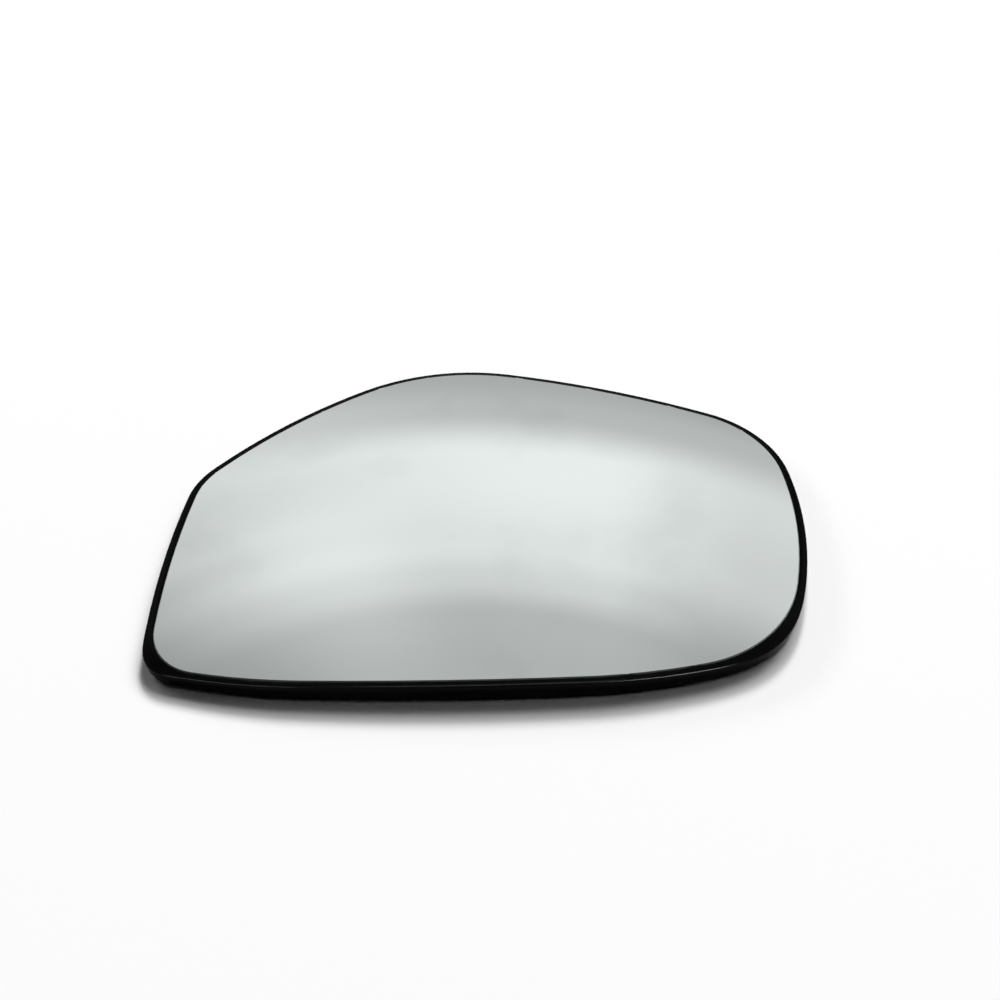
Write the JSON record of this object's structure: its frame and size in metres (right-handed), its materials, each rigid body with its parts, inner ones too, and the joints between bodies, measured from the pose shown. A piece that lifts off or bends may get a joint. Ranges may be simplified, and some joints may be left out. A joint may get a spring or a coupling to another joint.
{
  "type": "car door mirror glass",
  "caption": "Convex silvered mirror glass bonded into a rimmed black plastic holder with a clip-on actuator socket behind.",
  "frame": {"origin": "centre of the socket ring at its rear face, which is also the lowest plane of the part", "axes": "+Z out of the middle of the reflecting face, +X along the long side, away from the pointed end"},
  "size_m": [0.1899, 0.1343, 0.0078],
  "materials": {
    "silvered_glass": "polished",
    "foam_pad": "matt foam",
    "black_plastic": "glossy moulded"
  },
  "bodies": {
    "root": {"mirror_glass": "silvered_glass", "adhesive_pad": "foam_pad", "holder": "black_plastic"}
  },
  "joints": []
}
